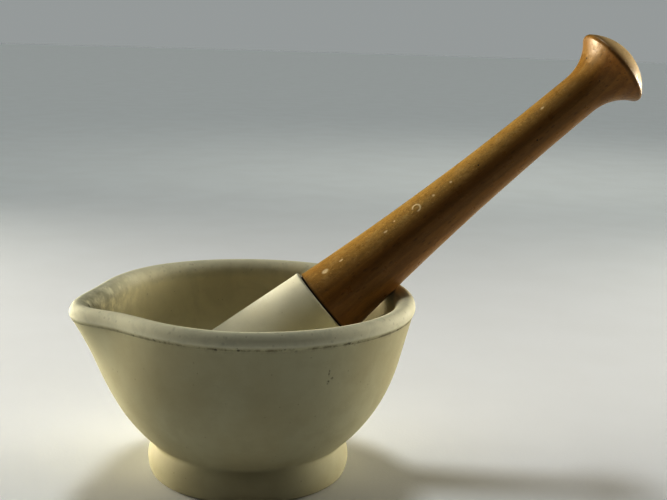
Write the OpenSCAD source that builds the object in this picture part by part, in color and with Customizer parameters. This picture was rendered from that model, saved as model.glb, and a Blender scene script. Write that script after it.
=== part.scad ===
// Mortar and pestle: a one-piece ceramic mortar with a pouring lip, and a ceramic pestle head
// cemented to a turned beech handle. The pestle is shown at rest, its rounded end in the well
// and its handle lying on the rim.
// Origin: centre of the mortar's foot, on the table. +Z up. The pouring lip points to -X.

/* [Mortar] */
// Outside diameter of the rolled rim
rim_d = 139.5; // [132:0.5:150]
// Height from the table to the top of the rim
mortar_h = 78.5; // [76:0.5:84]
// Width of the outer half of the rim's roll
bead_r = 3.2; // [2.8:0.1:3.4]
// Distance from the top of the rim down to its widest place
bead_h = 4.2; // [3.8:0.1:4.6]
// Radius of the inner half of the rim's roll
lip_round_r = 5.7; // [4.5:0.1:7]
// Inset of the upper wall's top from the rim's outside
wall_inset = 0.8; // [0.7:0.1:1.2]
// Distance from the top of the rim down to the top of the upper wall
wall_drop = 6; // [5.5:0.1:6.5]
// Lean of the bowl's upper wall from the vertical, in degrees
wall_lean = 14.2; // [13:0.2:15.4]
// Length of the straight upper wall
wall_l = 22; // [17:0.5:25]
// Outer radius of curvature of the bowl below the straight wall
bowl_r = 71; // [67:0.5:76]

/* [Pouring lip] */
// How far the lip's point stands out beyond the round rim
lip_reach = 5.9; // [2:0.1:8]
// How far the lip's point dips below the rest of the rim
lip_dip = 1.2; // [0:0.1:3]
// How far the rim is pinched in on each side of the lip
lip_pinch = 3.6; // [0:0.1:6]
// Half-width of the lip's point, in degrees around the rim
lip_angle = 15.4; // [10:0.2:20]
// Half-width of the pinched stretch, in degrees around the rim
pinch_angle = 72; // [50:1:90]
// Height at which the lip starts to grow out of the wall
lip_start_z = 34; // [20:1:50]
// Height at which the lip has its full reach
lip_full_z = 72; // [62:1:76]

/* [Foot] */
// Largest diameter of the barrel-shaped foot
foot_d = 86.4; // [82:0.2:90]
// Height of the foot's widest place
foot_z = 7; // [6:0.5:8]
// Radius of the foot's barrel curve
foot_curve_r = 13.2; // [11:0.1:15]
// Radius of the foot's lower edge
foot_edge_r = 2.5; // [1:0.1:4]
// Radius of the hollow where the foot meets the bowl
valley_r = 1.5; // [1:0.1:2.5]

/* [Pestle head] */
// Length of the head from the joint to the grinding end
head_l = 75.1; // [66:0.1:78]
// Diameter of the head at the joint
head_d = 36.8; // [36:0.1:40]
// Half-angle by which the head widens towards the grinding end, in degrees
head_flare = 5.8; // [3:0.1:8]
// Radius of the head's upper edge
head_edge_r = 0.9; // [0.5:0.1:1.2]
// Diameter of the socket for the handle's tenon
socket_d = 19; // [17:0.5:22]
// Depth of the socket
socket_l = 27; // [20:1:32]

/* [Handle] */
// Diameter of the handle at its shoulder
shoulder_d = 33.6; // [30:0.2:34]
// Diameter of the handle at its waist, below the knob
waist_d = 18.6; // [16:0.2:22]
// Largest diameter of the knob
knob_d = 35.8; // [30:0.2:40]
// Distance from the joint to the knob's edge
knob_z = 161; // [140:1:180]
// Height of the domed end above the knob's edge
dome_h = 9; // [6:0.5:12]
// Radius of the knob's edge
knob_edge_r = 1.6; // [1:0.1:2.5]
// Radius of the flare between the waist and the knob
flare_r = 22; // [18:0.5:26]
// Radius of the shoulder's edge
shoulder_edge_r = 0.8; // [0.4:0.1:1.5]

/* [Joint] */
// Thickness of the cement around the tenon and under the shoulder
cement_t = 0.6; // [0.3:0.1:1]
// Inset of the cement from the handle's shoulder edge
cement_inset = 0.9; // [0.5:0.1:1.5]
// Depth of the grooves turned in the tenon
groove_depth = 0.8; // [0.4:0.1:1.2]
// Width of each groove
groove_w = 2; // [1:0.5:3]

/* [Pestle at rest] */
// Angle of the pestle above the horizontal, in degrees
lean = 40.6; // [37:0.2:46]
// Turn of the pestle about the vertical, in degrees
pestle_turn = -12.5; // [-40:0.5:40]
// Place round the rim where the handle lies, in degrees from the pestle's own plane
rest_turn = 6.2; // [0:0.1:16]
// Distance up the handle from the joint to where it lies on the rim
rest_s = 27; // [15:1:60]
// Gap left between the pestle and the mortar
rest_gap = 0.4; // [0.3:0.05:1]

/* [Hidden] */

ceramic_color = [0.77, 0.74, 0.62];
head_color = [0.85, 0.82, 0.73];
cement_color = [0.20, 0.16, 0.11];
beech_color = [0.66, 0.44, 0.22];

around = 64;            // places round the mortar
round_fn = 96;          // smoothness of turned parts
hair = 0.01;            // overlap that keeps cuts clean
well_hole = 6;          // degrees from the well's centre to its last ring of points

rim_r = rim_d / 2;
foot_r = foot_d / 2;
// Sections are [radius, height]
bead_c = [rim_r - bead_r, mortar_h - bead_h];
round_c = [rim_r - bead_r, mortar_h - lip_round_r];
well_r = round_c.x - lip_round_r;
well_z = round_c.y;
// The straight wall, from its top down to where the bowl's curve starts
wall_top = [rim_r - wall_inset, mortar_h - wall_drop];
wall_dir = [sin(wall_lean), cos(wall_lean)];
wall_out = [cos(wall_lean), -sin(wall_lean)];
wall_foot = wall_top - wall_l * wall_dir;
bowl_c = wall_foot - bowl_r * wall_out;
foot_c = [foot_r - foot_curve_r, foot_z];
// Hollow under the bead, tangent to the wall and the bead
groove_r = 1;
groove_rise = groove_r - (bead_c - wall_top) * wall_out;
groove_c = bead_c + groove_rise * wall_out
    - sqrt(pow(groove_r + bead_r, 2) - pow(groove_rise, 2)) * wall_dir;
// Foot's lower edge, tangent to the table and to the barrel
edge_c = [foot_c.x + sqrt(pow(foot_curve_r - foot_edge_r, 2) - pow(foot_z - foot_edge_r, 2)),
    foot_edge_r];
// Hollow between the foot and the bowl, tangent to both
valley_c = outer_meet(foot_c, foot_curve_r + valley_r, bowl_c, bowl_r + valley_r);

// Head: the grinding end is a ball, tangent to the cone of the side
head_r = head_d / 2;
ball_r = (head_r + head_l * tan(head_flare)) * cos(head_flare)
    / (1 + sin(head_flare));
ball_z = ball_r - head_l;
head_edge_c = [head_r - head_edge_r, -head_edge_r];

// Handle
waist_r = waist_d / 2;
shoulder_r = shoulder_d / 2;
knob_edge_c = [knob_d / 2 - knob_edge_r, knob_z];
waist_z = knob_z - sqrt(pow(flare_r + knob_edge_r, 2)
    - pow(waist_r + flare_r - knob_edge_c.x, 2));
flare_c = [waist_r + flare_r, waist_z];
dome_r = (pow(knob_edge_c.x, 2) + pow(dome_h, 2) - pow(knob_edge_r, 2))
    / (2 * (dome_h - knob_edge_r));
dome_c = [0, knob_z + dome_h - dome_r];
tenon_r = socket_d / 2 - cement_t;
tenon_l = socket_l - 2 * cement_t;
groove_count = 3;

// Rest: the axis is placed by its offset from the well's centre, across and to one side
rest_reach = (handle_r(rest_s) + lip_round_r + rest_gap)
    / norm([cos(rest_turn), sin(lean) * sin(rest_turn)]);
rest_across = (round_c.x * sin(lean) - rest_reach) * cos(rest_turn);
rest_side = (round_c.x - rest_reach * sin(lean)) * sin(rest_turn);
ball_reach = well_r - ball_r - rest_gap;
ball_along = sqrt(pow(ball_reach, 2) - pow(rest_across, 2) - pow(rest_side, 2));

// Points on an arc from angle a0 to a1, in n steps, starting with point number `first`
function arc(c, r, a0, a1, n, first = 0) =
    [for (i = [first:n]) let (a = a0 + (a1 - a0) * i / n) c + r * [cos(a), sin(a)]];
// Points on a quarter of an ellipse, from its outer side up to its top, without the first
function quarter(c, size, n) =
    [for (i = [1:n]) c + [size.x * cos(90 * i / n), size.y * sin(90 * i / n)]];
// Angle of point p seen from point c
function angle_of(c, p) = atan2(p.y - c.y, p.x - c.x);
// Point at distance ra from a and rb from b, on the outer side of the line from a to b
function outer_meet(a, ra, b, rb) =
    let (d = norm(b - a), u = (b - a) / d, t = (d * d + ra * ra - rb * rb) / (2 * d))
    a + t * u + sqrt(ra * ra - t * t) * [u.y, -u.x];
// Radius of the handle at distance s from the joint, up to its waist
function handle_r(s) = waist_r + (shoulder_r - waist_r) * pow(1 - s / waist_z, 2);
// Share of the lip's reach at height z
function lip_growth(z) = pow(min(max((z - lip_start_z) / (lip_full_z - lip_start_z), 0), 1), 2);
// Shape of the lip's point round the rim, at angle a from it
function lip_peak(a) = exp(-pow(a / lip_angle, 2));
// Movement of the rim at angle a from the lip
function lip_shift(a) = (lip_reach + lip_pinch) * lip_peak(a)
    - lip_pinch * pow(max(1 - pow(a / pinch_angle, 3), 0), 2);

foot_angle = angle_of(foot_c, edge_c);
valley_angle = angle_of(foot_c, valley_c);
bowl_angle = angle_of(bowl_c, valley_c);
groove_angle = angle_of(groove_c, bead_c);
// Half section of the mortar, from the foot's flat, up the outside, over the rim and down
// the well to just short of its centre
mortar_section = concat(
    arc(edge_c, foot_edge_r, -90, foot_angle, 4),
    arc(foot_c, foot_curve_r, foot_angle, valley_angle, 6, 1),
    arc(valley_c, valley_r, valley_angle + 180, bowl_angle + 180, 2),
    arc(bowl_c, bowl_r, bowl_angle, -wall_lean, 6, 1),
    [wall_foot + wall_l / 2 * wall_dir],
    arc(groove_c, groove_r, 180 - wall_lean, groove_angle, 2),
    arc(bead_c, bead_r, groove_angle - 180, 0, 2, 1),
    quarter(bead_c, [bead_r, bead_h], 4),
    arc(round_c, lip_round_r, 90, 180, 5, 1),
    arc([0, well_z], well_r, 0, well_hole - 90, 14, 1));

module mortar() {
    rings = len(mortar_section);
    points = [for (p = mortar_section, j = [0:around - 1])
        let (a = 360 * j / around, from_lip = min(a, 360 - a), grown = lip_growth(p.y),
            r = p.x + grown * lip_shift(from_lip))
        [-r * cos(a), -r * sin(a), p.y - grown * lip_dip * lip_peak(from_lip)]];
    well_floor = [0, 0, well_z - well_r];
    foot_flat = [[for (j = [0:around - 1]) j]];
    walls = [for (i = [0:rings - 2], j = [0:around - 1])
        let (k = (j + 1) % around, low = i * around, high = low + around)
        each [[low + j, high + j, low + k], [low + k, high + j, high + k]]];
    floor_fan = [for (j = [0:around - 1])
        [(rings - 1) * around + j, rings * around, (rings - 1) * around + (j + 1) % around]];
    color(ceramic_color)
        polyhedron(concat(points, [well_floor]), concat(foot_flat, walls, floor_fan));
}

// Puts a part drawn along +Z, with the joint at the origin, in the pestle's rest place
module at_rest() {
    side = [sin(lean), 0, -cos(lean)];
    along = [cos(lean), 0, sin(lean)];
    ball = [0, rest_side, well_z] + rest_across * side - ball_along * along;
    rotate([0, 0, pestle_turn])
        translate(ball - ball_z * along)
            rotate([0, 90 - lean, 0])
                children();
}

module turned(outline) {
    rotate_extrude($fn = round_fn) polygon(outline);
}

module pestle_head() {
    color(head_color)
        at_rest()
            difference() {
                turned(concat(
                    [[0, -head_l]],
                    arc([0, ball_z], ball_r, -90, head_flare, 17, 1),
                    arc(head_edge_c, head_edge_r, head_flare, 90, 3),
                    [[0, 0]]));
                translate([0, 0, -socket_l])
                    cylinder(h = socket_l + hair, d = socket_d, $fn = round_fn);
            }
}

// The tenon with its grooves, which key it into the cement
module tenon() {
    pitch = tenon_l / (groove_count + 1);
    difference() {
        translate([0, 0, -tenon_l])
            cylinder(h = tenon_l + cement_t + hair, r = tenon_r, $fn = round_fn);
        for (i = [1:groove_count])
            translate([0, 0, -i * pitch - groove_w / 2])
                difference() {
                    cylinder(h = groove_w, r = tenon_r + hair, $fn = round_fn);
                    translate([0, 0, -hair])
                        cylinder(h = groove_w + 2 * hair, r = tenon_r - groove_depth,
                            $fn = round_fn);
                }
    }
}

module joint_cement() {
    color(cement_color)
        at_rest()
            difference() {
                union() {
                    translate([0, 0, -socket_l])
                        cylinder(h = socket_l + cement_t, d = socket_d, $fn = round_fn);
                    cylinder(h = cement_t, r = shoulder_r - cement_inset, $fn = round_fn);
                }
                tenon();
            }
}

module handle() {
    body_steps = 12;
    color(beech_color)
        at_rest()
            union() {
                turned(concat(
                    [[0, cement_t]],
                    arc([shoulder_r - shoulder_edge_r, cement_t + shoulder_edge_r],
                        shoulder_edge_r, -90, 0, 3),
                    [for (i = [1:body_steps - 1])
                        let (s = waist_z * i / body_steps) [handle_r(s), s]],
                    arc(flare_c, flare_r, 180, angle_of(flare_c, knob_edge_c), 8),
                    arc(knob_edge_c, knob_edge_r, angle_of(knob_edge_c, flare_c),
                        angle_of(dome_c, knob_edge_c), 6, 1),
                    arc(dome_c, dome_r, angle_of(dome_c, knob_edge_c), 90, 9, 1)));
                tenon();
            }
}

mortar();
pestle_head();
joint_cement();
handle();
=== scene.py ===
import math

import bpy
import numpy as np
from mathutils import Matrix, Vector, noise


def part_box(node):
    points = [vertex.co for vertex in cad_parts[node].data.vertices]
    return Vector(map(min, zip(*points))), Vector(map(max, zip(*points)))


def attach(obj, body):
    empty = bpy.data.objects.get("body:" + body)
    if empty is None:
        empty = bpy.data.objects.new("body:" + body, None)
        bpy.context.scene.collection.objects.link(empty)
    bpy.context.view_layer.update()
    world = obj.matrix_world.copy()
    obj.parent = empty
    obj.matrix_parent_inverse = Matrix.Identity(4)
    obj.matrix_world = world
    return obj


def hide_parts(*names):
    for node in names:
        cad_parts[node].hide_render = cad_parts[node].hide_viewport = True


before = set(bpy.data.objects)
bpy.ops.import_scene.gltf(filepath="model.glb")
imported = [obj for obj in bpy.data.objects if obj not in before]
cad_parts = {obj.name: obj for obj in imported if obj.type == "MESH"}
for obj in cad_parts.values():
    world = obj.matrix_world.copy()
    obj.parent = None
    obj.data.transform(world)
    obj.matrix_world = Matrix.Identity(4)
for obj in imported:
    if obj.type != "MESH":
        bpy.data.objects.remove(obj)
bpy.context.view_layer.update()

# ---------------------------------------------------------------- sizes, in millimetres
MM = 0.001
mortar_low, mortar_high = (np.array(corner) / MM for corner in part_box("mortar"))
RIM_R = mortar_high[1]
MORTAR_H = mortar_high[2]
LIP_REACH = -mortar_low[0] - RIM_R

# Mortar, as in the CAD model
BEAD_R = 3.2
BEAD_H = 4.2
LIP_ROUND_R = 5.7
WALL_INSET = 0.8
WALL_DROP = 6
WALL_LEAN = 14.2
WALL_L = 22
BOWL_R = 71
GROOVE_R = 1
LIP_PINCH = 3.6
LIP_ANGLE = 15.4
LIP_DIP = 1.2
PINCH_ANGLE = 72
LIP_START_Z = 34
LIP_FULL_Z = 72
FOOT_R = 43.2
FOOT_Z = 7
FOOT_CURVE_R = 13.2
FOOT_EDGE_R = 2.5
VALLEY_R = 1.5

# Pestle, as in the CAD model
HEAD_L = 75.1
HEAD_R = 18.4
HEAD_FLARE = 5.8
HEAD_EDGE_R = 0.9
SOCKET_R = 9.5
SOCKET_L = 27
SHOULDER_R = 16.8
WAIST_R = 9.3
KNOB_R = 17.9
KNOB_Z = 161
DOME_H = 9
KNOB_EDGE_R = 1.6
FLARE_R = 22
SHOULDER_EDGE_R = 0.8
CEMENT_T = 0.6
CEMENT_INSET = 0.9
GROOVE_DEPTH = 0.8
GROOVE_W = 2
GROOVE_COUNT = 3

# Pestle at rest, as in the CAD model
LEAN = 40.6
PESTLE_TURN = -12.5
REST_TURN = 6.2
REST_S = 27
REST_GAP = 0.4

# Camera: where it stands round the mortar's axis, and how it is aimed (degrees)
CAM_DISTANCE = 455.4
CAM_HEIGHT = 185.6
CAM_ROUND = 16.43
CAM_YAW = 20.76
CAM_PITCH = 11.03
CAM_ROLL = 1.73
CAM_LENS = 59.4
CAM_SENSOR = 36

# Points round each turned piece
MORTAR_AROUND = 288
HEAD_AROUND = 192
CEMENT_AROUND = 128
HANDLE_AROUND = 224

# Points of a turned outline closer than this to the axis, or to each other, are left out
ON_AXIS = 0.05
TOO_CLOSE = 0.02
# A straight stretch has a point this close to each end, so that its corners stay crisp
CORNER = 0.15

# How deep each surface wanders inwards from the CAD shape, on average, and how long its waves are
MORTAR_UNEVEN, MORTAR_WAVE = 0.06, 30
HEAD_UNEVEN, HEAD_WAVE = 0.05, 16
HANDLE_UNEVEN, HANDLE_WAVE = 0.05, 24
CEMENT_UNEVEN, CEMENT_WAVE = 0.25, 3
# Small dings all over the handle, and the knocks and pinholes placed one by one
DINGS_DEPTH, DINGS_WAVE = 0.05, 3.5
KNOCK_DEPTH = 0.22
PINHOLE_DEPTH = 0.3

# The groove's darker band and its grit lie this far below the rim's top, in a band this wide, but
# not near the lip
GROOVE_DROP = 6.4
GROOVE_BAND = 0.6
UNMARKED_ANGLE = 30
# The inside is darker grey by the lip, round to about this angle, in full down to one distance
# below the rim's top and fading to nothing at the other
LIP_DARK_ANGLE = 38
LIP_DARK_FULL = 10
LIP_DARK_END = 20
# The pestle's stained end starts and is full this far below the joint
STAIN_START = 50
STAIN_FULL = 66
# Hands wear the handle, and a painted reflection of the light from above lies on it, most at this
# height above the joint, over this reach, and at this angle
GRIP_Z = 75
GRIP_REACH = 85
WEAR_AND_SHEEN_TURN = -168

# Stage and lights, in metres
FLOOR_SIZE = 12.0
FLOOR_SIDES = 96
WARM = (1.0, 0.95, 0.84)
COOL = (0.95, 1.0, 1.05)
HORIZON_TINT = (0.96, 1.0, 1.0, 1)
OVERHEAD_TINT = (1.0, 0.94, 0.78, 1)
MORTAR_MIDDLE = (0, 0, 0.05)
# Below 1 this deepens the shadows, which matches the photo's contrast
DISPLAY_GAMMA = 0.62


# ---------------------------------------------------------------- outlines
def turn(degrees):
    a = math.radians(degrees)
    return np.array([math.cos(a), math.sin(a)])


def arc(centre, radius, start, end, step=0.8):
    """Points on an arc between two angles in degrees, about `step` mm apart."""
    count = max(4, math.ceil(radius * math.radians(abs(end - start)) / step))
    return [np.array(centre) + radius * turn(a) for a in np.linspace(start, end, count + 1)]


def line(start, end, step=1.0):
    """Points on a straight line, about `step` mm apart, with close ones at both ends."""
    start, end = np.array(start, float), np.array(end, float)
    length = np.linalg.norm(end - start)
    count = max(1, math.ceil(length / step))
    close = min(CORNER / length, 0.2)
    shares = [close, *np.linspace(0, 1, count + 1)[1:-1], 1 - close]
    return [start + t * (end - start) for t in sorted(shares)]


def angle_of(centre, point):
    return math.degrees(math.atan2(point[1] - centre[1], point[0] - centre[0]))


def outer_meet(a, ra, b, rb):
    """The point at distance ra from a and rb from b, on the outer side of a to b."""
    a, b = np.array(a), np.array(b)
    d = np.linalg.norm(b - a)
    u = (b - a) / d
    t = (d * d + ra * ra - rb * rb) / (2 * d)
    return a + t * u + math.sqrt(ra * ra - t * t) * np.array([u[1], -u[0]])


BEAD_C = np.array([RIM_R - BEAD_R, MORTAR_H - BEAD_H])
ROUND_C = np.array([RIM_R - BEAD_R, MORTAR_H - LIP_ROUND_R])
WELL_R = ROUND_C[0] - LIP_ROUND_R
WELL_Z = ROUND_C[1]


def mortar_outline():
    """Half section from the middle of the foot, up the outside and down to the well's middle.
    A stretch starts a little past the end of the one before it, so that no point is doubled."""
    wall_dir = np.array([math.sin(math.radians(WALL_LEAN)), math.cos(math.radians(WALL_LEAN))])
    wall_out = np.array([wall_dir[1], -wall_dir[0]])
    wall_top = np.array([RIM_R - WALL_INSET, MORTAR_H - WALL_DROP])
    wall_foot = wall_top - WALL_L * wall_dir
    bowl_c = wall_foot - BOWL_R * wall_out
    foot_c = np.array([FOOT_R - FOOT_CURVE_R, FOOT_Z])
    rise = GROOVE_R - (BEAD_C - wall_top) @ wall_out
    reach = math.sqrt((GROOVE_R + BEAD_R) ** 2 - rise ** 2)
    groove_c = BEAD_C + rise * wall_out - reach * wall_dir
    edge_run = math.sqrt((FOOT_CURVE_R - FOOT_EDGE_R) ** 2 - (FOOT_Z - FOOT_EDGE_R) ** 2)
    edge_c = np.array([foot_c[0] + edge_run, FOOT_EDGE_R])
    valley_c = outer_meet(foot_c, FOOT_CURVE_R + VALLEY_R, bowl_c, BOWL_R + VALLEY_R)
    foot_angle = angle_of(foot_c, edge_c)
    valley_angle = angle_of(foot_c, valley_c)
    bowl_angle = angle_of(bowl_c, valley_c)
    groove_angle = angle_of(groove_c, BEAD_C)
    return (
        line([0, 0], [edge_c[0], 0], 3)
        + arc(edge_c, FOOT_EDGE_R, -90, foot_angle, 0.4)
        + arc(foot_c, FOOT_CURVE_R, foot_angle + 3, valley_angle)
        + arc(valley_c, VALLEY_R, valley_angle + 180, bowl_angle + 180, 0.3)[1:]
        + arc(bowl_c, BOWL_R, bowl_angle + 0.5, -WALL_LEAN, 1.2)
        + line(wall_foot, wall_top, 1.2)
        + arc(groove_c, GROOVE_R, 180 - WALL_LEAN, groove_angle, 0.25)
        + arc(BEAD_C, BEAD_R, groove_angle - 180, 0, 0.35)[1:]
        + [BEAD_C + (BEAD_R, BEAD_H) * turn(a) for a in range(6, 91, 6)]
        + arc(ROUND_C, LIP_ROUND_R, 93, 180, 0.45)
        + arc([0, WELL_Z], WELL_R, -1, -90, 1.2)
    )


def bell(value, width):
    """1 at 0, falling off to both sides over about a width."""
    return np.exp(-(value / width) ** 2)


def rise_between(value, start, end):
    """0 up to the start and 1 from the end, straight between them."""
    return np.clip((value - start) / (end - start), 0, 1)


def angle_from_lip(angles):
    """How far each angle in radians is from the lip's direction, -X, in degrees."""
    return np.degrees(np.abs(np.angle(np.exp(1j * (angles - math.pi)))))


def lip_peak(a):
    """Shape of the lip's point round the rim, at an angle of a degrees from it."""
    return bell(a, LIP_ANGLE)


def lip_shift(a):
    """Movement of the rim, in mm, at an angle of a degrees from the lip."""
    pinched = np.maximum(1 - (a / PINCH_ANGLE) ** 3, 0) ** 2
    return (LIP_REACH + LIP_PINCH) * lip_peak(a) - LIP_PINCH * pinched


def lip_growth(z):
    """Share of the lip's movement at a height, from none low on the wall to all at the rim."""
    return rise_between(z, LIP_START_Z, LIP_FULL_Z) ** 2


flare = math.radians(HEAD_FLARE)
BALL_R = (HEAD_R + HEAD_L * math.tan(flare)) * math.cos(flare) / (1 + math.sin(flare))
BALL_Z = BALL_R - HEAD_L
KNOB_EDGE_C = np.array([KNOB_R - KNOB_EDGE_R, KNOB_Z])
WAIST_Z = KNOB_Z - math.sqrt(
    (FLARE_R + KNOB_EDGE_R) ** 2 - (WAIST_R + FLARE_R - KNOB_EDGE_C[0]) ** 2)
TENON_R = SOCKET_R - CEMENT_T
TENON_L = SOCKET_L - 2 * CEMENT_T


def handle_r(s):
    """Radius of the grip at a height s above the joint, up to the waist."""
    return WAIST_R + (SHOULDER_R - WAIST_R) * (1 - s / WAIST_Z) ** 2


def tenon_outline():
    """The tenon's side, from its end up to the shoulder, with its grooves."""
    points = line([0, -TENON_L], [TENON_R, -TENON_L], 2)
    pitch = TENON_L / (GROOVE_COUNT + 1)
    low = -TENON_L
    for i in range(GROOVE_COUNT, 0, -1):
        start = -i * pitch - GROOVE_W / 2
        deep = TENON_R - GROOVE_DEPTH
        points += line([TENON_R, low], [TENON_R, start], 2)
        points += line([TENON_R, start], [deep, start], 1)
        points += line([deep, start], [deep, start + GROOVE_W], 1)
        points += line([deep, start + GROOVE_W], [TENON_R, start + GROOVE_W], 1)
        low = start + GROOVE_W
    return points + line([TENON_R, low], [TENON_R, CEMENT_T], 2)


def handle_outline():
    shoulder_c = [SHOULDER_R - SHOULDER_EDGE_R, CEMENT_T + SHOULDER_EDGE_R]
    flare_c = [WAIST_R + FLARE_R, WAIST_Z]
    edge_run, rise = KNOB_EDGE_C[0], DOME_H
    dome_r = (edge_run ** 2 + rise ** 2 - KNOB_EDGE_R ** 2) / (2 * (rise - KNOB_EDGE_R))
    dome_c = [0, KNOB_Z + DOME_H - dome_r]
    flare_end = angle_of(flare_c, KNOB_EDGE_C) % 360
    grip = np.arange(shoulder_c[1] + 0.5, WAIST_Z, 0.9)
    return (
        tenon_outline()
        + line([TENON_R, CEMENT_T], [shoulder_c[0], CEMENT_T], 1.5)
        + arc(shoulder_c, SHOULDER_EDGE_R, -90, 0, 0.2)
        + [np.array([handle_r(s), s]) for s in grip]
        + arc(flare_c, FLARE_R, 180, flare_end)
        + arc(KNOB_EDGE_C, KNOB_EDGE_R, angle_of(KNOB_EDGE_C, flare_c) + 8,
              angle_of(dome_c, KNOB_EDGE_C), 0.25)
        + arc(dome_c, dome_r, angle_of(dome_c, KNOB_EDGE_C) + 1, 90)
    )


def head_outline():
    edge_c = [HEAD_R - HEAD_EDGE_R, -HEAD_EDGE_R]
    tangent = [np.array([0, BALL_Z]) + BALL_R * turn(HEAD_FLARE),
               np.array(edge_c) + HEAD_EDGE_R * turn(HEAD_FLARE)]
    return (
        arc([0, BALL_Z], BALL_R, -90, HEAD_FLARE)
        + line(*tangent)
        + arc(edge_c, HEAD_EDGE_R, HEAD_FLARE, 90, 0.2)
        + line([edge_c[0], 0], [SOCKET_R, 0], 1.5)
        + line([SOCKET_R, 0], [SOCKET_R, -SOCKET_L], 3)
        + line([SOCKET_R, -SOCKET_L], [0, -SOCKET_L], 3)
    )


def cement_outline():
    """The sleeve of cement, from the socket's floor to the ring squeezed out under the shoulder."""
    ring_r = SHOULDER_R - CEMENT_INSET
    inside = tenon_outline()
    return (
        line([0, -SOCKET_L], [SOCKET_R, -SOCKET_L], 2)
        + line([SOCKET_R, -SOCKET_L], [SOCKET_R, 0], 3)
        + line([SOCKET_R, 0], [ring_r, 0], 1)
        + arc([ring_r - CEMENT_T / 2, CEMENT_T / 2], CEMENT_T / 2, -60, 60, 0.15)
        + line([ring_r, CEMENT_T], [TENON_R, CEMENT_T], 1)
        + inside[::-1]
    )


# ---------------------------------------------------------------- meshes
def clean(outline):
    """The outline as an array, without points that fall on the one before."""
    kept = [outline[0]]
    for point in outline[1:]:
        if np.linalg.norm(point - kept[-1]) > TOO_CLOSE:
            kept.append(point)
    return np.array(kept)


def lathe(name, outline, around, shape=None, place=None):
    """A closed turned mesh about Z, then moved by the matrix `place`.
    shape(rings, angles, outline) may move its rings of points."""
    outline = clean(outline)
    outline = outline[outline[:, 0] > ON_AXIS]
    angles = np.arange(around) * 2 * math.pi / around
    rings = np.stack([
        np.outer(outline[:, 0], np.cos(angles)),
        np.outer(outline[:, 0], np.sin(angles)),
        np.repeat(outline[:, 1:], around, axis=1)], axis=-1)
    if shape:
        rings = shape(rings, angles, outline)
    poles = np.array([[0, 0, rings[0, :, 2].mean()], [0, 0, rings[-1, :, 2].mean()]])
    points = np.vstack([rings.reshape(-1, 3), poles]) * MM
    faces = []
    last = len(outline) - 1
    for j in range(around):
        k = (j + 1) % around
        faces.append((len(points) - 2, k, j))
        faces.append((len(points) - 1, last * around + j, last * around + k))
        faces += [(i * around + j, i * around + k, (i + 1) * around + k, (i + 1) * around + j)
                  for i in range(last)]
    mesh = bpy.data.meshes.new(name)
    mesh.from_pydata(points.tolist(), [], faces)
    if place:
        mesh.transform(place)
    mesh.polygons.foreach_set("use_smooth", [True] * len(mesh.polygons))
    mesh.update()
    piece = bpy.data.objects.new(name, mesh)
    bpy.context.collection.objects.link(piece)
    return piece, outline, angles


def add_attribute(piece, name, values):
    """Stores one number for each point, ring by ring, and the mean of a ring at its pole."""
    values = np.concatenate([values.ravel(), [values[0].mean(), values[-1].mean()]])
    piece.data.attributes.new(name, "FLOAT", "POINT").data.foreach_set("value", values)


def field(rings, scale, seed, octaves=3):
    """Smooth noise from -1 to 1 at each point; scale is the size of its waves in mm."""
    shift = Vector((seed * 17.3, seed * 5.1, seed * 9.7))
    flat = rings.reshape(-1, 3) / scale
    values = [noise.fractal(Vector(p) + shift, 1.0, 2.0, octaves) for p in flat]
    return np.clip(np.array(values), -1, 1).reshape(rings.shape[:2])


def push(rings, amount):
    """Moves each point by an amount in mm along the surface, outwards if positive."""
    along = np.gradient(rings, axis=0)
    across = np.roll(rings, -1, axis=1) - np.roll(rings, 1, axis=1)
    normal = np.cross(across, along)
    normal /= np.linalg.norm(normal, axis=-1, keepdims=True) + 1e-9
    return rings + normal * amount[..., None]


def wander(rings, depth, wave, seed):
    """Unevenness for push, inwards by `depth` mm on average, with waves of a size in mm."""
    return -depth * (1 + field(rings, wave, seed))


def dent(rings, place, radius, depth):
    """A smooth hollow round a place in mm, as an amount for push."""
    d = np.linalg.norm(rings - np.array(place), axis=-1) / radius
    return -depth * np.clip(1 - d ** 2, 0, 1) ** 2


# ---------------------------------------------------------------- placing
def pestle_matrix():
    """Puts a piece made along +Z, with the joint at its origin, where the pestle rests."""
    lean, rest = math.radians(LEAN), math.radians(REST_TURN)
    side = np.array([math.sin(lean), 0, -math.cos(lean)])
    along = np.array([math.cos(lean), 0, math.sin(lean)])
    reach = (handle_r(REST_S) + LIP_ROUND_R + REST_GAP) / math.hypot(
        math.cos(rest), math.sin(lean) * math.sin(rest))
    across = (ROUND_C[0] * math.sin(lean) - reach) * math.cos(rest)
    aside = (ROUND_C[0] - reach * math.sin(lean)) * math.sin(rest)
    back = math.sqrt((WELL_R - BALL_R - REST_GAP) ** 2 - across ** 2 - aside ** 2)
    ball = np.array([0, aside, WELL_Z]) + across * side - back * along
    joint = (ball - BALL_Z * along) * MM
    return (Matrix.Rotation(math.radians(PESTLE_TURN), 4, "Z")
            @ Matrix.Translation(joint)
            @ Matrix.Rotation(math.pi / 2 - lean, 4, "Y"))


PESTLE = pestle_matrix()


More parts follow.
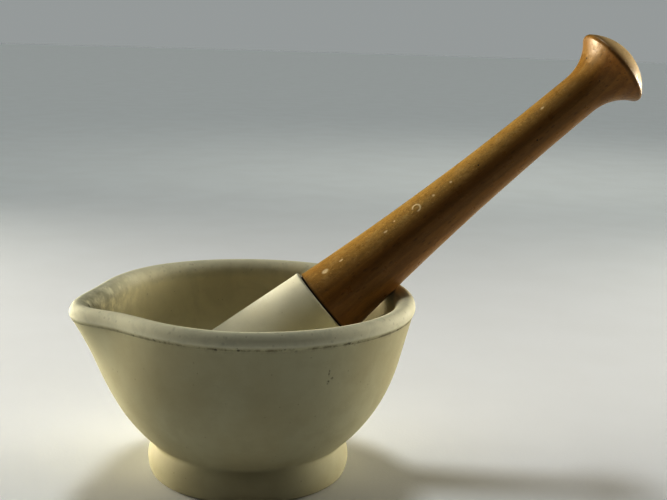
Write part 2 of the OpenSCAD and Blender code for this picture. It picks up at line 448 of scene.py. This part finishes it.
# ---------------------------------------------------------------- materials
class Surface:
    """A node material. Sockets are passed about as values or as links."""

    def __init__(self, name, place=None):
        self.material = bpy.data.materials.new(name)
        self.material.use_nodes = True
        self.tree = self.material.node_tree
        self.shader = self.tree.nodes["Principled BSDF"]
        self.coords = self.node("ShaderNodeTexCoord").outputs["Object"]
        if place:
            self.coords = self.node("ShaderNodeMapping", {
                "Vector": self.coords, "Location": place.translation,
                "Rotation": place.to_euler()}, vector_type="TEXTURE").outputs[0]

    def node(self, kind, inputs=None, **settings):
        made = self.tree.nodes.new(kind)
        for key, value in settings.items():
            setattr(made, key, value)
        for key, value in (inputs or {}).items():
            self.put(made.inputs[key], value)
        return made

    def put(self, socket, value):
        if isinstance(value, bpy.types.NodeSocket):
            self.tree.links.new(value, socket)
        elif isinstance(value, tuple) and len(value) == 3 and socket.type == "RGBA":
            socket.default_value = (*value, 1)
        else:
            socket.default_value = value

    def math(self, operation, a, b, clamp=False):
        made = self.node("ShaderNodeMath", {0: a, 1: b}, operation=operation, use_clamp=clamp)
        return made.outputs[0]

    def times(self, *values):
        """All the values multiplied together."""
        result = values[0]
        for value in values[1:]:
            result = self.math("MULTIPLY", result, value)
        return result

    def most(self, values):
        """The greatest of the values."""
        result = values[0]
        for value in values[1:]:
            result = self.math("MAXIMUM", result, value)
        return result

    def ramp(self, value, low, high, to_low=0.0, to_high=1.0):
        """A smooth step between two values."""
        made = self.node("ShaderNodeMapRange", {
            "Value": value, "From Min": low, "From Max": high,
            "To Min": to_low, "To Max": to_high}, interpolation_type="SMOOTHSTEP")
        return made.outputs["Result"]

    def mix(self, factor, a, b):
        made = self.node("ShaderNodeMix", data_type="RGBA")
        for index, value in ((0, factor), (6, a), (7, b)):
            self.put(made.inputs[index], value)
        return made.outputs[2]

    def coat(self, color, mask, strength, paint):
        """The colour with a paint over it where the mask is 1, at a strength from 0 to 1."""
        return self.mix(self.times(mask, strength), color, paint)

    def stretched(self, scale, turned=(0, 0, 0), moved=(0, 0, 0)):
        """Coordinates for a pattern that is longer along an axis with a small scale."""
        made = self.node("ShaderNodeMapping", {
            "Vector": self.coords, "Scale": scale, "Rotation": turned, "Location": moved})
        return made.outputs[0]

    def noise(self, size, detail=3.0, rough=0.5, distort=0.0, vector=None):
        """Noise whose waves are about `size` mm."""
        made = self.node("ShaderNodeTexNoise", {
            "Vector": self.coords if vector is None else vector,
            "Scale": 1 / (size * MM), "Detail": detail, "Roughness": rough,
            "Distortion": distort})
        return made.outputs["Fac"]

    def cells(self, size, vector=None):
        """Distance to the nearest of scattered points about `size` mm apart, and its own value."""
        made = self.node("ShaderNodeTexVoronoi", {
            "Vector": self.coords if vector is None else vector,
            "Scale": 1 / (size * MM)})
        return made.outputs["Distance"], made.outputs["Color"]

    def dots(self, size, edge, chosen, vector=None):
        """1 inside some of the dots about `size` mm apart. `edge` is the distance at which a dot
        ends and the one at which it is full, both as shares of the size. `chosen` is the value
        of its own below which a dot is left out, and the one above which it is full."""
        distance, value = self.cells(size, vector)
        return self.times(self.ramp(distance, *edge), self.ramp(value, *chosen))

    def attribute(self, name):
        return self.node("ShaderNodeAttribute", attribute_name=name).outputs["Fac"]

    def blot(self, place, size, turned=(0, 0, 0), edge=0.5):
        """1 inside an ellipsoid at a place in mm, fading to 0 past its edge."""
        made = self.node("ShaderNodeMapping", {
            "Vector": self.coords, "Location": tuple(v * MM for v in place),
            "Rotation": turned, "Scale": tuple(v * MM for v in size)}, vector_type="TEXTURE")
        length = self.node("ShaderNodeVectorMath", {0: made.outputs[0]}, operation="LENGTH")
        return self.ramp(length.outputs["Value"], 1 + edge, 1 - edge)

    def bump(self, height, depth, under=None):
        """Relief of `depth` mm from a height between 0 and 1."""
        inputs = {"Height": height, "Distance": depth * MM, "Strength": 1.0}
        if under:
            inputs["Normal"] = under
        return self.node("ShaderNodeBump", inputs).outputs[0]

    def finish(self, color, roughness, normal, specular):
        self.put(self.shader.inputs["Base Color"], color)
        self.put(self.shader.inputs["Roughness"], roughness)
        self.put(self.shader.inputs["Normal"], normal)
        self.shader.inputs["Specular IOR Level"].default_value = specular
        return self.material


# Mortar's colours, as linear red, green and blue
CREAM = (0.500, 0.466, 0.322)
CREAM_PALE = (0.545, 0.525, 0.385)
CREAM_DEEP = (0.470, 0.440, 0.302)
# Painted light: the inside is painted paler than the outside of the same ceramic
CREAM_INSIDE_LIT = (0.790, 0.750, 0.560)
# Painted highlight on the rim's top band
RIM_TOP_HIGHLIGHT = (0.700, 0.685, 0.555)
RIM_FILM = (0.52, 0.52, 0.42)
WELL_FILM = (0.56, 0.53, 0.38)
LIP_DARK_GREY = (0.32, 0.31, 0.225)
LIP_STAIN = (0.10, 0.10, 0.075)
GROOVE_DARK_BAND = (0.24, 0.21, 0.135)
GROOVE_GRIT = (0.07, 0.062, 0.042)
IRON_SPECK = (0.27, 0.225, 0.14)
USE_MARK = (0.12, 0.105, 0.07)

# Pestle head's colours
HEAD_CREAM = (0.715, 0.688, 0.560)
HEAD_PALE = (0.765, 0.748, 0.635)
HEAD_DEEP = (0.600, 0.575, 0.455)
HEAD_STAIN = (0.48, 0.475, 0.39)
HEAD_SCUFF = (0.36, 0.355, 0.30)
HEAD_SPECK = (0.40, 0.34, 0.23)

# Handle's colours
WOOD = (0.260, 0.120, 0.0220)
WOOD_PALE = (0.360, 0.190, 0.0420)
LATE_WOOD = (0.190, 0.095, 0.0200)
DARK_FIBRE = (0.170, 0.088, 0.0190)
RAY_FLECK = (0.100, 0.048, 0.0140)
PORE = (0.080, 0.038, 0.0110)
# Worn varnish and a painted reflection of the light from above, on the handle's upper side
HONEY_AND_SHEEN = (0.640, 0.450, 0.155)
CRAZE_DARK = (0.250, 0.140, 0.040)
CRAZE_PALE = (0.850, 0.660, 0.330)
# Rubbed wood and a painted reflection of the light from above, on the handle's upper side
RUBBED_WOOD_AND_SHEEN = (0.580, 0.430, 0.190)
# Worn end grain and a painted highlight from above, on the knob's dome
KNOB_WOOD_AND_HIGHLIGHT = (0.74, 0.58, 0.34)
END_GRAIN = (0.50, 0.35, 0.17)
BARE_WOOD = (0.85, 0.72, 0.50)
PINHOLE = (0.015, 0.008, 0.004)

# Cement's and floor's colours
CEMENT_DARK = (0.016, 0.011, 0.006)
CEMENT_PALE = (0.050, 0.036, 0.020)
FLOOR_NEAR = (0.755, 0.770, 0.795)
FLOOR_FAR = (0.925, 0.965, 0.980)
FLOOR_SHADE = (0.62, 0.62, 0.60)

# Marks on the mortar: angle about Z in degrees, height, and half-size along, through and up
MORTAR_MARKS = [
    (-79.5, 60.9, (0.30, 1.5, 1.60)),
    (-78.1, 58.4, (0.45, 1.5, 0.50)),
    (-79.4, 56.9, (0.50, 1.5, 0.80)),
    (158.0, 50.0, (0.60, 1.5, 1.40)),
    (61.0, 44.0, (1.20, 1.5, 0.50)),
]
# Dark stains inside the lip: place and half-size in mm
LIP_STAINS = [
    ((-66.5, 3.0, 74.6), (2.0, 1.8, 1.8)),
    ((-63.5, 6.5, 73.5), (2.4, 2.0, 1.6)),
    ((-67.0, -1.0, 75.0), (1.2, 1.6, 1.0)),
]
# Knocks on the handle: height above the joint, angle round it, and half-size in mm
HANDLE_KNOCKS = [
    (10.0, -150, (1.5, 1.1, 1.5)),
    (18.2, -149, (0.5, 0.5, 1.0)),
    (40.5, -141, (0.5, 0.5, 0.9)),
    (46.2, -149, (0.4, 0.4, 0.5)),
    (66.0, -141, (0.6, 0.6, 0.6)),
    (75.3, -141, (0.6, 0.6, 0.6)),
    (125.5, -144, (0.5, 0.5, 0.9)),
    (38, 40, (1.0, 0.7, 1.1)),
    (77, 95, (0.9, 0.6, 0.8)),
    (104, -10, (0.7, 0.6, 1.2)),
]
# Pinholes in the handle: height above the joint, angle round it, and half-size in mm
HANDLE_PINHOLES = [
    (153.6, -163, 0.40),
    (150.5, -101, 0.32),
    (88.8, -130.5, 0.35),
    (114.8, -84.7, 0.35),
    (112, 20, 0.3),
    (64, -60, 0.25),
]
# A nearly closed ring-shaped mark on the handle: its height and angle, its half-size outside and
# inside, and how far down and round from its middle its gap lies, with the gap's half-size
RING_MARK = (57.0, -142)
RING_OUTSIDE = 2.1
RING_INSIDE = 1.35
RING_GAP_DOWN = 1.6
RING_GAP_ROUND = 4
RING_GAP = 1.3
RING_EDGE = 0.12


def mortar_place(about, up):
    """A place on the mortar's outside, in mm: angle about Z and height."""
    outline = np.array(mortar_outline())
    outer = outline[:int(np.argmax(outline[:, 1]))]
    r = np.interp(up, outer[:, 1], outer[:, 0])
    from_lip = abs(about % 360 - 180)
    r += float(lip_growth(up) * lip_shift(from_lip))
    a = math.radians(about)
    return (r * math.cos(a), r * math.sin(a), up)


def handle_place(up, about):
    """A place on the handle's surface, in mm: height above the joint and angle round it."""
    a = math.radians(about)
    r = handle_r(min(up, WAIST_Z))
    if up > WAIST_Z:
        r += FLARE_R - math.sqrt(FLARE_R ** 2 - (up - WAIST_Z) ** 2)
    return (r * math.cos(a), r * math.sin(a), up)


def mortar_ceramic():
    s = Surface("mortar_ceramic")
    inside = s.attribute("inside")
    rim = s.attribute("rim")
    groove = s.attribute("groove")
    lip = s.attribute("lip")
    # Body colour, with broad clouds and a finer mottle
    clouds = s.ramp(s.noise(42, detail=4, rough=0.55), 0.35, 0.65)
    color = s.mix(clouds, CREAM, CREAM_PALE)
    mottle = s.ramp(s.noise(9, detail=5, rough=0.6), 0.42, 0.70)
    color = s.coat(color, mottle, 0.35, CREAM_DEEP)
    # Painted light: the inside is painted paler than the outside, as if lit
    color = s.mix(inside, color, CREAM_INSIDE_LIT)
    # Painted highlight: the rim's top band is painted paler, as if lit from above
    color = s.coat(color, rim, 0.85, RIM_TOP_HIGHLIGHT)
    # Grey film where hands and powder have soiled the rim and the inside, and darker grey patches
    # inside by the lip
    film = s.ramp(s.noise(7, detail=5, rough=0.7, distort=0.4), 0.46, 0.66)
    color = s.coat(color, s.times(rim, film), 0.35, RIM_FILM)
    used = s.ramp(s.noise(20, detail=5, rough=0.6, distort=0.8), 0.38, 0.68)
    color = s.coat(color, s.times(inside, used), 0.30, WELL_FILM)
    lip_dark_patches = s.ramp(s.noise(5, detail=5, rough=0.6), 0.30, 0.62)
    color = s.coat(color, s.times(lip, inside, lip_dark_patches), 0.85, LIP_DARK_GREY)
    stains = s.most([s.blot(place, size, edge=0.7) for place, size in LIP_STAINS])
    blotchy = s.ramp(s.noise(1.6, detail=4, rough=0.7), 0.34, 0.54)
    color = s.coat(color, s.times(stains, blotchy), 0.85, LIP_STAIN)
    # A darker band along the groove under the rim, and grit caught in it
    dark_band = s.ramp(s.noise(6, detail=6, rough=0.8), 0.44, 0.60)
    color = s.coat(color, s.times(groove, dark_band), 0.85, GROOVE_DARK_BAND)
    grit = s.dots(1.9, (0.40, 0.20), (0.66, 0.74))
    grit = s.times(grit, s.most([groove, s.times(rim, 0.15)]))
    color = s.coat(color, grit, 0.8, GROOVE_GRIT)
    # Fine iron specks all over
    color = s.coat(color, s.dots(2.6, (0.13, 0.06), (0.66, 0.72)), 0.50, IRON_SPECK)
    # A few marks from use
    marks = s.most([s.blot(mortar_place(about, up), size, (0, 0, math.radians(about + 90)), 0.6)
                    for about, up, size in MORTAR_MARKS])
    ragged = s.ramp(s.noise(1.1, detail=4, rough=0.7), 0.38, 0.55)
    color = s.coat(color, s.times(marks, ragged), 0.85, USE_MARK)
    # Grainy, pitted and slightly wavy surface
    grain = s.noise(0.55, detail=4, rough=0.65)
    pits = s.dots(1.5, (0.22, 0.05), (0.70, 0.74))
    height = s.math("SUBTRACT", s.times(grain, 0.35), pits)
    normal = s.bump(height, 0.05, s.bump(s.noise(5), 0.10))
    rough = s.ramp(s.noise(13, detail=4, rough=0.6), 0.3, 0.7, 0.62, 0.82)
    return s.finish(color, rough, normal, 0.35)


def head_ceramic():
    s = Surface("head_ceramic", PESTLE)
    worn = s.attribute("worn")
    clouds = s.ramp(s.noise(24, detail=4, rough=0.55), 0.35, 0.65)
    color = s.mix(clouds, HEAD_CREAM, HEAD_PALE)
    mottle = s.ramp(s.noise(6, detail=5, rough=0.6), 0.45, 0.72)
    color = s.coat(color, mottle, 0.25, HEAD_DEEP)
    # The grinding end is stained grey and scuffed by use
    stain = s.ramp(s.noise(9, detail=5, rough=0.65, distort=0.5), 0.30, 0.62)
    color = s.coat(color, s.times(worn, stain), 0.6, HEAD_STAIN)
    slanted = s.stretched((1, 1, 0.25), (0.4, 0.3, 0))
    scuffs = s.ramp(s.noise(2.2, detail=4, rough=0.7, distort=0.3, vector=slanted), 0.55, 0.72)
    color = s.coat(color, s.times(worn, scuffs), 0.35, HEAD_SCUFF)
    color = s.coat(color, s.dots(2.4, (0.12, 0.05), (0.70, 0.76)), 0.5, HEAD_SPECK)
    height = s.math("ADD", s.times(s.noise(0.5, detail=4, rough=0.6), 0.4),
                    s.times(s.noise(4), 0.6))
    rough = s.ramp(s.noise(10, detail=4, rough=0.6), 0.3, 0.7, 0.50, 0.70)
    return s.finish(color, rough, s.bump(height, 0.045), 0.4)


def wood_figure(s, fibre, pores):
    """Colour of the wood under its varnish: streaks, rings, fibres, ray flecks and pores."""
    streak_along = s.stretched((1, 1, 0.05))
    streak = s.noise(5.5, detail=4, rough=0.6, distort=0.4, vector=streak_along)
    color = s.mix(s.ramp(streak, 0.3, 0.7), WOOD, WOOD_PALE)
    # Growth rings, from a pith well outside the blank
    blank = s.stretched((1, 1, 0.035), (0.05, 0.035, 0.6), (0.034, 0.012, 0))
    rings = s.node("ShaderNodeTexWave", {
        "Vector": blank, "Scale": 88.0, "Distortion": 2.6, "Detail": 3.0,
        "Detail Scale": 0.9, "Detail Roughness": 0.6},
        wave_type="RINGS", rings_direction="Z", wave_profile="SAW").outputs["Fac"]
    color = s.coat(color, s.ramp(rings, 0.15, 0.95), 0.35, LATE_WOOD)
    color = s.coat(color, s.ramp(fibre, 0.42, 0.72), 0.35, DARK_FIBRE)
    # Ray flecks are short darker dashes along the grain
    flecks = s.dots(1.5, (0.34, 0.16), (0.45, 0.60), s.stretched((1, 1, 0.34)))
    color = s.coat(color, flecks, 0.45, RAY_FLECK)
    return s.coat(color, pores, 0.35, PORE)


def handle_wear(s, color):
    """Knocks and a ring-shaped mark that have gone through the varnish, and dark pinholes."""
    knocks = [s.blot(handle_place(up, about), size, (0, 0, math.radians(about)), 0.35)
              for up, about, size in HANDLE_KNOCKS]
    up, about = RING_MARK
    ring = s.math("SUBTRACT", s.blot(handle_place(up, about), (RING_OUTSIDE,) * 3, edge=RING_EDGE),
                  s.blot(handle_place(up, about), (RING_INSIDE,) * 3, edge=RING_EDGE), True)
    gap = s.blot(handle_place(up - RING_GAP_DOWN, about + RING_GAP_ROUND), (RING_GAP,) * 3)
    ring = s.math("SUBTRACT", ring, gap, True)
    ragged = s.ramp(s.noise(0.9, detail=4, rough=0.7), 0.28, 0.46)
    color = s.coat(color, s.times(s.most([*knocks, ring]), ragged), 0.90, BARE_WOOD)
    holes = s.most([s.blot(handle_place(up, about), (size,) * 3, edge=0.4)
                    for up, about, size in HANDLE_PINHOLES])
    return s.mix(holes, color, PINHOLE)


def beech():
    s = Surface("beech", PESTLE)
    tip = s.attribute("tip")
    grip = s.attribute("grip")
    fibre_along, pores_along = s.stretched((1, 1, 0.035)), s.stretched((1, 1, 0.06))
    fibre = s.noise(1.1, detail=5, rough=0.65, distort=0.15, vector=fibre_along)
    pores = s.ramp(s.noise(0.34, rough=0.6, vector=pores_along), 0.60, 0.70)
    color = wood_figure(s, fibre, pores)
    # Varnish worn thin: honey-coloured where hands hold it, pale over the knob. On the upper side
    # these paler coats also paint a reflection of the light from above
    color = s.coat(color, grip, 0.62, HONEY_AND_SHEEN)
    crazed_along = s.stretched((1, 1, 0.7))
    crazed = s.noise(0.8, detail=5, rough=0.75, distort=0.8, vector=crazed_along)
    color = s.mix(s.times(grip, s.ramp(crazed, 0.50, 0.62, 0.0, 0.50)), color, CRAZE_DARK)
    color = s.mix(s.times(grip, s.ramp(crazed, 0.42, 0.34, 0.0, 0.50)), color, CRAZE_PALE)
    rubbed_along = s.stretched((1, 1, 0.5))
    rubbed = s.noise(3.2, detail=6, rough=0.72, distort=0.5, vector=rubbed_along)
    thin_varnish_and_sheen = s.times(grip, s.ramp(rubbed, 0.50, 0.70))
    color = s.coat(color, thin_varnish_and_sheen, 0.60, RUBBED_WOOD_AND_SHEEN)
    # The knob's pale dome: worn end grain, with a painted highlight from the light above
    dome = s.times(tip, s.ramp(s.noise(7, detail=5, rough=0.6), 0.15, 0.55, 0.55, 1.0))
    color = s.coat(color, dome, 0.85, KNOB_WOOD_AND_HIGHLIGHT)
    end_distance, _ = s.cells(0.8)
    color = s.coat(color, s.times(tip, s.ramp(end_distance, 0.45, 0.15)), 0.35, END_GRAIN)
    color = handle_wear(s, color)
    # Lathe lines, fibre relief and small dings
    turned_lines = s.noise(0.5, detail=2, vector=s.stretched((0.02, 0.02, 1)))
    relief = s.math("ADD", s.times(fibre, 0.5), s.times(turned_lines, 0.5))
    relief = s.math("SUBTRACT", relief, s.times(pores, 0.3))
    dings = s.ramp(s.noise(2.4, detail=4, rough=0.6, distort=0.2), 0.52, 0.70)
    normal = s.bump(s.times(dings, -1.0), 0.07, s.bump(relief, 0.05))
    rough = s.ramp(s.noise(6, detail=5, rough=0.65), 0.3, 0.7, 0.26, 0.44)
    rough = s.math("ADD", rough, s.times(s.most([thin_varnish_and_sheen, dome]), 0.22))
    return s.finish(color, rough, normal, 0.5)


def cement():
    s = Surface("cement", PESTLE)
    clouds = s.ramp(s.noise(1.6, detail=5, rough=0.7), 0.35, 0.65)
    color = s.mix(clouds, CEMENT_DARK, CEMENT_PALE)
    normal = s.bump(s.noise(0.5, detail=4, rough=0.7), 0.12)
    return s.finish(color, s.ramp(s.noise(1.2), 0.3, 0.7, 0.75, 0.95), normal, 0.3)


# ---------------------------------------------------------------- pieces
def finish_piece(piece, material, body, node):
    piece.data.materials.append(material)
    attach(piece, body)
    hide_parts(node)


def make_mortar():
    def shape(rings, angles, outline):
        r, z = outline[:, :1], outline[:, 1:]
        from_lip = angle_from_lip(angles)
        grown = lip_growth(z)
        radius = r + grown * lip_shift(from_lip)
        height = z - grown * LIP_DIP * lip_peak(from_lip)
        rings = np.stack([radius * np.cos(angles), radius * np.sin(angles), height], -1)
        # The flat underside and the middle of the well stay even
        worked = rise_between(z, 0, 12) * rise_between(r, 0, 20)
        return push(rings, wander(rings, MORTAR_UNEVEN, MORTAR_WAVE, 1) * worked)

    piece, outline, angles = lathe("mortar_body", mortar_outline(), MORTAR_AROUND, shape)
    ones = np.ones((1, len(angles)))
    from_lip = angle_from_lip(angles)[None]
    height = outline[:, 1:]
    order = np.arange(len(outline))[:, None]
    crest = int(np.argmax(height))
    outer = order < crest
    # The rim's paler top, a painted highlight, starts this far below the top, and is full a little
    # higher
    rim_low = MORTAR_H - np.where(outer, 6, 8)
    rim = rise_between(height, rim_low, rim_low + np.where(outer, 1, 4))
    groove = bell(height - (MORTAR_H - GROOVE_DROP), GROOVE_BAND) * outer
    near_top = rise_between(height, MORTAR_H - LIP_DARK_END, MORTAR_H - LIP_DARK_FULL)
    add_attribute(piece, "inside", rise_between(order, crest, crest + 8) * ones)
    add_attribute(piece, "rim", rim * ones)
    add_attribute(piece, "groove", groove * (1 - bell(from_lip, UNMARKED_ANGLE)))
    add_attribute(piece, "lip", near_top * bell(from_lip, LIP_DARK_ANGLE))
    finish_piece(piece, mortar_ceramic(), "mortar", "mortar")


def make_head():
    def shape(rings, angles, outline):
        outside = (outline[:, :1] > SOCKET_R + 1) & (outline[:, 1:] < -1)
        return push(rings, wander(rings, HEAD_UNEVEN, HEAD_WAVE, 2) * outside)

    piece, outline, angles = lathe("pestle_head_body", head_outline(), HEAD_AROUND, shape, PESTLE)
    outside = outline[:, 0] > SOCKET_R * 0.2
    worn = rise_between(-outline[:, 1], STAIN_START, STAIN_FULL) * outside
    add_attribute(piece, "worn", worn[:, None] * np.ones((1, len(angles))))
    finish_piece(piece, head_ceramic(), "pestle", "pestle_head")


def make_cement():
    def shape(rings, angles, outline):
        r, z = outline[:, :1], outline[:, 1:]
        squeezed_out = (r > SHOULDER_R - CEMENT_INSET - 1.2) & (z > 0.05) & (z < CEMENT_T - 0.05)
        return push(rings, wander(rings, CEMENT_UNEVEN, CEMENT_WAVE, 3) * squeezed_out)

    piece, _, _ = lathe("cement_sleeve", cement_outline(), CEMENT_AROUND, shape, PESTLE)
    finish_piece(piece, cement(), "pestle", "joint_cement")


def make_handle():
    def shape(rings, angles, outline):
        outside = (outline[:, 1:] > CEMENT_T + 1) * rise_between(outline[:, :1], 0, 4)
        amount = wander(rings, HANDLE_UNEVEN, HANDLE_WAVE, 4) * outside
        dings = np.maximum(field(rings, DINGS_WAVE, 5) - 0.15, 0)
        amount += -DINGS_DEPTH * dings * outside
        for up, about, size in HANDLE_KNOCKS:
            amount += dent(rings, handle_place(up, about), 1.5 * size[0], KNOCK_DEPTH)
        for up, about, size in HANDLE_PINHOLES:
            amount += dent(rings, handle_place(up, about), 2 * size, PINHOLE_DEPTH)
        return push(rings, amount)

    piece, outline, angles = lathe("handle_turned", handle_outline(), HANDLE_AROUND, shape, PESTLE)
    height = outline[:, 1:]
    tip = rise_between(height, KNOB_Z, KNOB_Z + 3)
    grip = np.exp(-((height - GRIP_Z) / GRIP_REACH) ** 4) * (height > 0)
    # Hands have worn the upper side most, turned a little towards the camera; that side also
    # carries a painted reflection of the light from above
    facing = np.cos(angles - math.radians(WEAR_AND_SHEEN_TURN))[None]
    add_attribute(piece, "tip", tip * np.ones((1, len(angles))))
    add_attribute(piece, "grip", grip * np.clip((facing - 0.55) / 0.35, 0.1, 1))
    finish_piece(piece, beech(), "pestle", "handle")


# ---------------------------------------------------------------- stage, light and camera
def in_view(across, away, up):
    """A place given from the mortar as the camera sees it: to its right, away from it, and up."""
    a = math.radians(CAM_YAW)
    return (across * math.cos(a) + away * math.sin(a),
            -across * math.sin(a) + away * math.cos(a), up)


def make_floor():
    """A pale round floor, a little paler away from the mortar than near it: painted light that
    evens out how the lamps light the floor.
    """
    mesh = bpy.data.meshes.new("floor")
    edge = [(FLOOR_SIZE * math.cos(a), FLOOR_SIZE * math.sin(a), 0)
            for a in np.arange(FLOOR_SIDES) * 2 * math.pi / FLOOR_SIDES]
    mesh.from_pydata([(0, 0, 0), *edge], [],
                     [(0, i + 1, (i + 1) % FLOOR_SIDES + 1) for i in range(FLOOR_SIDES)])
    floor = bpy.data.objects.new("floor", mesh)
    bpy.context.collection.objects.link(floor)
    s = Surface("floor")
    distance = s.node("ShaderNodeVectorMath", {0: s.coords}, operation="LENGTH").outputs["Value"]
    # Painted light: darker near the mortar and paler far off, evening out the lamps
    color = s.mix(s.ramp(distance, 0.25, 1.0), FLOOR_NEAR, FLOOR_FAR)
    cloth = s.ramp(s.noise(60), 0.3, 0.7, 0.0, 0.06)
    color = s.mix(cloth, color, FLOOR_SHADE)
    mesh.materials.append(s.finish(color, 0.9, s.bump(s.noise(1.5, detail=4), 0.05), 0.2))


def make_sky():
    """A pale band on the horizon, brightest beyond the mortar, and a soft light overhead."""
    world = bpy.data.worlds.new("studio")
    bpy.context.scene.world = world
    world.use_nodes = True
    nodes, links = world.node_tree.nodes, world.node_tree.links

    def fade(value, low, high, to_low, to_high):
        made = nodes.new("ShaderNodeMapRange")
        made.interpolation_type = "SMOOTHSTEP"
        links.new(value, made.inputs["Value"])
        for key, number in (("From Min", low), ("From Max", high), ("To Min", to_low),
                            ("To Max", to_high)):
            made.inputs[key].default_value = number
        return made.outputs["Result"]

    def join(operation, a, b):
        made = nodes.new("ShaderNodeMath")
        made.operation = operation
        links.new(a, made.inputs[0])
        links.new(b, made.inputs[1])
        return made.outputs[0]

    direction = nodes.new("ShaderNodeTexCoord").outputs["Generated"]
    split = nodes.new("ShaderNodeSeparateXYZ")
    links.new(direction, split.inputs[0])
    up = split.outputs["Z"]
    beyond = nodes.new("ShaderNodeVectorMath")
    beyond.operation = "DOT_PRODUCT"
    links.new(direction, beyond.inputs[0])
    beyond.inputs[1].default_value = in_view(0, 1, 0)
    band = join("MULTIPLY", fade(up, 0.03, 0.16, 1.0, 0.0),
                fade(beyond.outputs["Value"], -0.2, 0.5, 0.06, 0.475))
    light = join("ADD", band, fade(up, 0.55, 0.80, 0.02, 0.34))
    tint = nodes.new("ShaderNodeMix")
    tint.data_type = "RGBA"
    tint.inputs[6].default_value = HORIZON_TINT
    tint.inputs[7].default_value = OVERHEAD_TINT
    links.new(fade(up, 0.10, 0.40, 0.0, 1.0), tint.inputs[0])
    background = nodes["Background"]
    links.new(tint.outputs[2], background.inputs["Color"])
    links.new(light, background.inputs["Strength"])


def aim(lamp, direction):
    """Turns a light to shine along a direction."""
    lamp.rotation_euler = direction.to_track_quat("-Z", "Y").to_euler()


def area_light(name, place, size, watts, spread, target=MORTAR_MIDDLE):
    """A soft light at a place, with its beam `spread` degrees wide."""
    data = bpy.data.lights.new(name, "AREA")
    data.shape = "RECTANGLE"
    data.size, data.size_y = size
    data.energy = watts
    data.color = WARM
    data.spread = math.radians(spread)
    lamp = bpy.data.objects.new(name, data)
    bpy.context.collection.objects.link(lamp)
    lamp.location = place
    aim(lamp, Vector(target) - Vector(place))


def make_lights():
    # Pairs, one on each side: name, place of the right one, size, and watts left and right
    pairs = [("side", (1.03, 0.38, 0.25), (0.6, 0.4), 1.00, 0.90),
             ("low", (1.05, 0.62, 0.16), (0.5, 0.3), 1.60, 1.00)]
    for name, (across, away, up), size, left_watts, right_watts in pairs:
        area_light(f"{name}_left", in_view(-across, away, up), size, left_watts, 60)
        area_light(f"{name}_right", in_view(across, away, up), size, right_watts, 60)
    area_light("left", in_view(-1.1, 0.05, 0.40), (0.7, 0.5), 0.8, 80)
    # One beyond the mortar shines straight down on the floor
    beyond = in_view(0.35, 1.0, 1.0)
    area_light("beyond", beyond, (0.9, 0.5), 0.65, 100, (*beyond[:2], 0))
    sun = bpy.data.lights.new("overhead", "SUN")
    sun.energy = 1.08
    sun.angle = math.radians(12)
    sun.color = COOL
    lamp = bpy.data.objects.new("overhead", sun)
    bpy.context.collection.objects.link(lamp)
    aim(lamp, -Vector(in_view(-0.05, 0.29, 1.2)))


def make_camera():
    around, yaw = math.radians(CAM_ROUND), math.radians(CAM_YAW)
    pitch, roll = math.radians(CAM_PITCH), math.radians(CAM_ROLL)
    ahead = Vector((math.sin(yaw) * math.cos(pitch), math.cos(yaw) * math.cos(pitch),
                    -math.sin(pitch)))
    level = Vector((math.cos(yaw), -math.sin(yaw), 0))
    upright = level.cross(ahead)
    right = level * math.cos(roll) + upright * math.sin(roll)
    up = upright * math.cos(roll) - level * math.sin(roll)
    camera = bpy.data.objects.new("camera", bpy.data.cameras.new("camera"))
    camera.data.lens = CAM_LENS
    camera.data.sensor_width = CAM_SENSOR
    bpy.context.collection.objects.link(camera)
    place = Vector((-CAM_DISTANCE * math.sin(around), -CAM_DISTANCE * math.cos(around),
                    CAM_HEIGHT)) * MM
    turned = Matrix((right, up, -ahead)).transposed().to_4x4()
    camera.matrix_world = Matrix.Translation(place) @ turned
    bpy.context.scene.camera = camera


make_camera()
make_floor()
make_sky()
make_lights()
make_mortar()
make_head()
make_cement()
make_handle()
bpy.context.scene.view_settings.view_transform = "Standard"
bpy.context.scene.view_settings.gamma = DISPLAY_GAMMA
